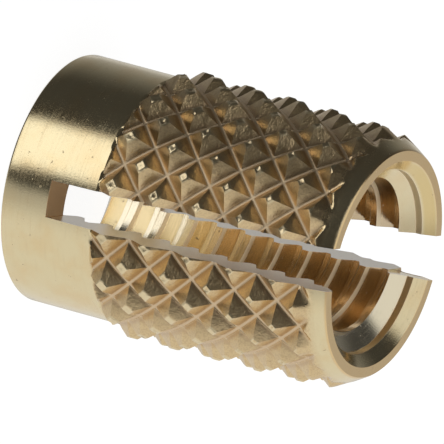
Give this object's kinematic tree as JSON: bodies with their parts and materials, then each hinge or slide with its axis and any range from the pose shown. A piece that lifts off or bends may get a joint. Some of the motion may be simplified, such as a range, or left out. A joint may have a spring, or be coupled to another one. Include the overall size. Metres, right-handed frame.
{
  "type": "threaded insert",
  "caption": "Slotted brass sleeve with a plain collar, a diamond knurl and an internal thread, pressed into a moulded hole and spread by its screw.",
  "frame": {"origin": "centre of the collar's end face, on the bore axis", "axes": "+Z along the bore axis from the collar to the slotted nose; the saw cut runs along Y; +X across the cut"},
  "size_m": [0.0058, 0.0058, 0.0078],
  "materials": {
    "brass": "turned and knurled, bare, lightly tarnished"
  },
  "bodies": {
    "root": {"insert_body": "brass"}
  },
  "joints": []
}
